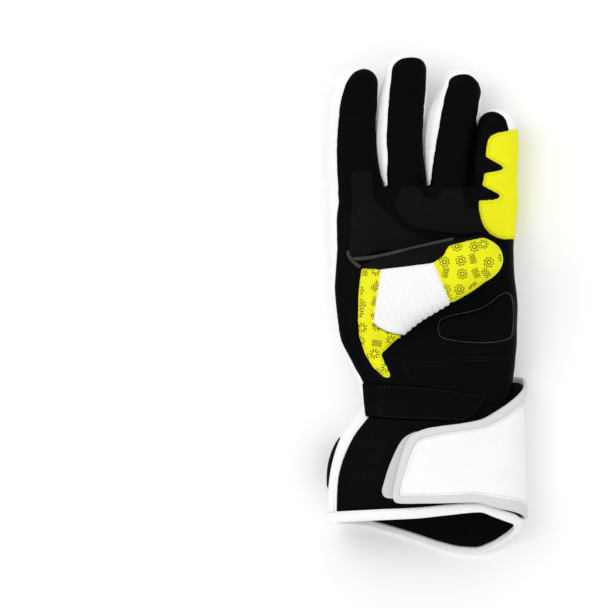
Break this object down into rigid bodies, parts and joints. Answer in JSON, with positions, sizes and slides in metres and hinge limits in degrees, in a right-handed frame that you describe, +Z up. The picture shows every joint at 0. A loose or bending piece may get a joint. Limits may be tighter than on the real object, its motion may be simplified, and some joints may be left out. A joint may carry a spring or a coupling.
{
  "type": "motorcycle glove",
  "caption": "Left-hand racing gauntlet glove lying palm up, thumb folded over the palm, with grip panels, finger guard, wrist strap and closing cuff flap",
  "frame": {"origin": "On the surface the glove rests on, below the middle of its bounding box", "axes": "+X to the little finger's side, +Y from the cuff to the fingertips, +Z up out of the palm"},
  "size_m": [0.1326, 0.3304, 0.0591],
  "materials": {
    "black_leather": "smooth black cowhide, low sheen",
    "grip_leather": "perforated black leather",
    "white_leather": "smooth white leather",
    "white_stretch": "ribbed stretch panel",
    "yellow_leather": null,
    "grey_binding": "light grey binding",
    "grey_tape": "hook and loop tape",
    "dark_piping": "rounded dark grey piping",
    "dark_cloth": "dark lining cloth"
  },
  "bodies": {
    "root": {"index_finger_front": "black_leather", "index_finger_back": "white_leather", "middle_finger_front": "black_leather", "middle_finger_back": "white_leather", "ring_finger_front": "black_leather", "ring_finger_back": "white_leather", "little_finger_front": "black_leather", "little_finger_back": "white_leather", "back_leather": "white_leather", "palm_leather": "black_leather", "thumb_base_panel": "yellow_leather", "thumb_underside": "black_leather", "thumb_side_panel": "grip_leather", "thumb_tip_panel": "yellow_leather", "thumb_stretch_panel": "white_stretch", "grip_panel_fingers": "grip_leather", "grip_panel_index": "grip_leather", "heel_pad": "black_leather", "little_finger_guard": "yellow_leather", "cuff_front": "black_leather", "cuff_back": "white_leather", "front_hem_binding": "white_leather", "back_hem_binding": "white_leather", "cuff_lining": "dark_cloth", "cuff_flap": "white_leather", "flap_binding": "grey_binding", "wrist_strap": "black_leather", "flap_closure_tape": "grey_tape", "cuff_side_pad": "black_leather", "thumb_piping": "dark_piping"}
  },
  "joints": []
}
